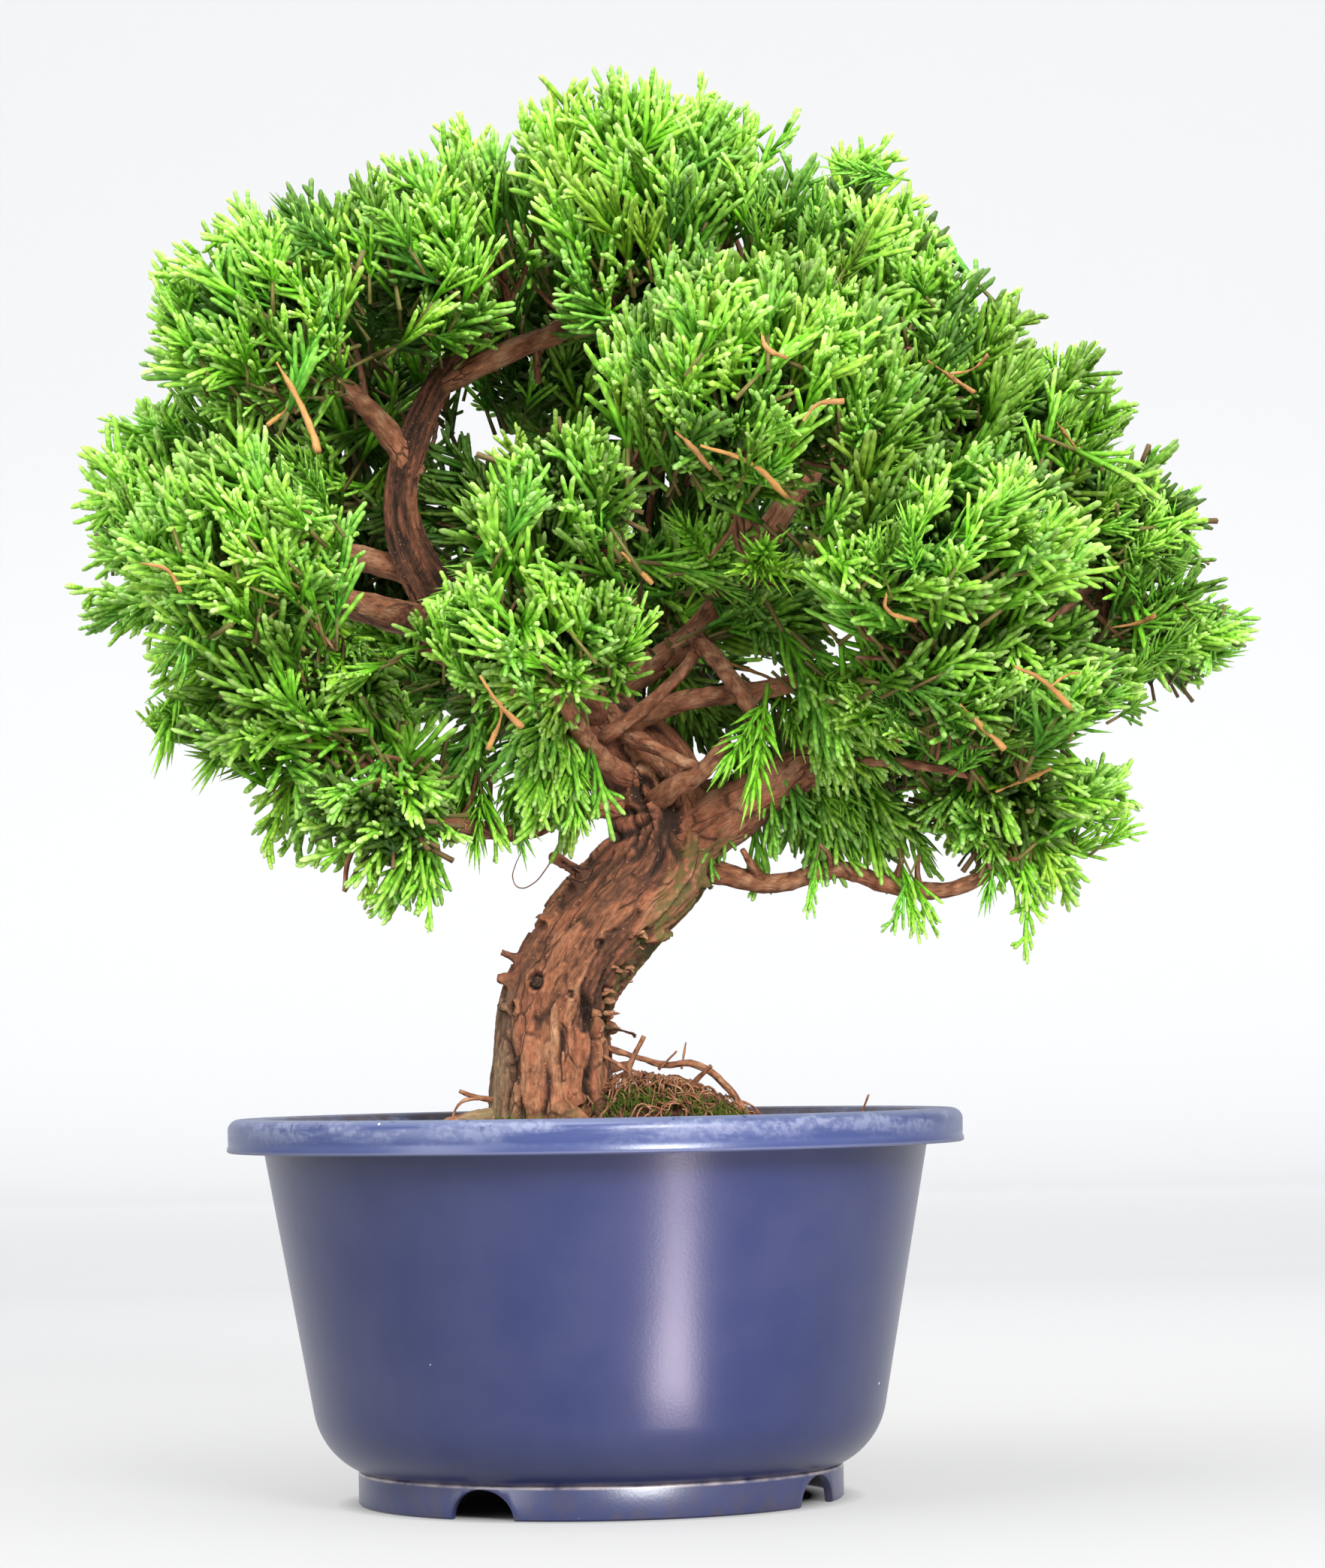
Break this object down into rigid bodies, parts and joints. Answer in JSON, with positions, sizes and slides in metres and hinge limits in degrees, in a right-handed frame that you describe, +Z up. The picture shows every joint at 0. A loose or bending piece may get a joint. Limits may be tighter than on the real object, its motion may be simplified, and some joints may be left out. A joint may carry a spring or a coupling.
{
  "type": "bonsai tree in a pot",
  "caption": "Juniper bonsai with a leaning trunk and clouds of scale-leaf foliage, standing in a round plastic training pot filled with soil.",
  "frame": {"origin": "on the ground, under the middle of the plant's bounding box; the pot's axis is 17.1 mm to -X and 4.2 mm to -Y of it", "axes": "+Z up the plant, -Y towards its front, +X to the right as seen from the front"},
  "size_m": [0.2555, 0.2015, 0.3027],
  "materials": {
    "pot": "satin moulded plastic, scuffed at the rim",
    "soil": "matte fibrous potting soil",
    "moss": "matte moss and root fibre",
    "bark": "rough fissured bark",
    "foliage": "satin living scale leaves"
  },
  "bodies": {
    "root": {"foliage_apex": "foliage", "foliage_back": "foliage", "foliage_back_left": "foliage", "foliage_crown_back": "foliage", "foliage_crown_left": "foliage", "foliage_crown_right": "foliage", "foliage_front": "foliage", "foliage_front_low": "foliage", "foliage_front_right": "foliage", "foliage_left": "foliage", "foliage_left_drooping": "foliage", "foliage_left_front": "foliage", "foliage_left_low": "foliage", "foliage_middle_right": "foliage", "foliage_right_back": "foliage", "foliage_right_far": "foliage", "foliage_right_low": "foliage", "foliage_right_low_back": "foliage", "foliage_right_middle": "foliage", "foliage_right_tip": "foliage", "foliage_upper_left": "foliage", "foliage_upper_left_back": "foliage", "foliage_upper_right": "foliage", "foliage_upper_right_back": "foliage", "limb_back": "bark", "limb_back_left": "bark", "limb_crossing": "bark", "limb_crown_right": "bark", "limb_front": "bark", "limb_front_low": "bark", "limb_front_right": "bark", "limb_front_spur": "bark", "limb_left": "bark", "limb_left_back": "bark", "limb_left_low": "bark", "limb_middle_right": "bark", "limb_right_back": "bark", "limb_right_far": "bark", "limb_right_low": "bark", "limb_right_main": "bark", "limb_upper_left": "bark", "limb_upper_right": "bark", "moss_hump": "moss", "pot": "pot", "root_back": "bark", "root_front": "bark", "root_left": "bark", "root_right_arch": "bark", "root_right_back": "bark", "soil": "soil", "trunk": "bark"}
  },
  "joints": []
}
